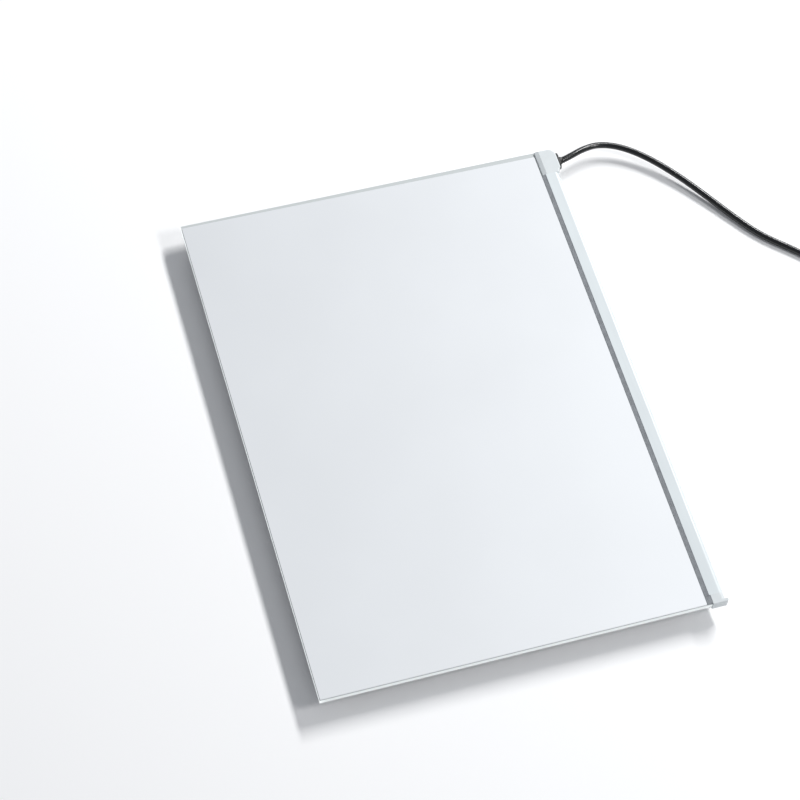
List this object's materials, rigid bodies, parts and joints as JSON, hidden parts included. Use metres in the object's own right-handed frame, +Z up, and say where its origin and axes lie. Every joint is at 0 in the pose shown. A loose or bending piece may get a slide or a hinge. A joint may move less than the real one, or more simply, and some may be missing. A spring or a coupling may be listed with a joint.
{
  "type": "light box",
  "caption": "Thin edge-lit light box with an opal drawing surface, a raised lamp channel along one long edge, bumper feet, and a black lead with an in-line rocker switch.",
  "frame": {"origin": "on the surface that the feet stand on, under the middle of the box without its lead", "axes": "+X across the short side towards the lamp channel, +Y along the long side towards the end where the lead leaves, +Z up"},
  "size_m": [0.3875, 0.3129, 0.0172],
  "materials": {
    "diffuser_opal": "opal satin",
    "acrylic_clear": "clear, slightly green at the edges",
    "film_white": "satin",
    "sheet_white": "fine matt",
    "tape_clear": "clear",
    "foam_grey": "matt foam",
    "channel_white": "satin white paint",
    "cap_white": "satin moulded",
    "thermal_grey": "matt",
    "board_white": "solder mask",
    "led_yellow": "phosphor",
    "resistor_black": "ceramic",
    "wire_red": "satin",
    "wire_black": "satin",
    "gland_black": "satin",
    "foot_rubber": "satin",
    "switch_black": "fine spark texture",
    "rocker_black": "polished",
    "screw_steel": "bright",
    "brass": "bright",
    "cord_black": "glossy PVC",
    "tie_black": "hook and loop",
    "plug_black": "moulded",
    "plug_metal": "nickel plate",
    "plug_inner": "moulded"
  },
  "bodies": {
    "panel": {"back_plate": "sheet_white", "reflector_film": "film_white", "light_guide": "acrylic_clear", "diffuser": "diffuser_opal", "bond_tape_left": "tape_clear", "bond_tape_near": "tape_clear", "bond_tape_far": "tape_clear", "light_seal": "foam_grey", "led_channel": "channel_white", "end_cap_far": "cap_white", "end_cap_near": "cap_white", "thermal_pad": "thermal_grey", "led_board": "board_white", "leds": "led_yellow", "resistors": "resistor_black", "board_wire_plus": "wire_red", "board_wire_minus": "wire_black", "cord_gland": "gland_black", "foot_far_left": "foot_rubber", "foot_far_right": "foot_rubber", "foot_near_left": "foot_rubber", "foot_near_right": "foot_rubber", "foot_pads": "tape_clear", "switch_base": "switch_black", "switch_cover": "switch_black", "switch_screws": "screw_steel", "switch_terminals": "brass", "switch_contact": "brass", "switch_wire_through": "wire_red", "switch_wires_cut": "wire_black", "cord_lead": "cord_black", "cord_tail": "cord_black", "cord_tip": "cord_black", "cord_coil": "cord_black", "cord_tie": "tie_black", "plug_grip": "plug_black", "plug_sleeve": "plug_metal", "plug_insulator": "plug_inner", "plug_contact": "brass"},
    "rocker": {"switch_rocker": "rocker_black"}
  },
  "joints": [
    {"name": "rocker_tilt", "type": "hinge", "parent": "panel", "child": "rocker", "pos_m": [0.262, -0.022, 0.012], "axis": [1, 0, 0], "range_deg": [0, 16]}
  ]
}
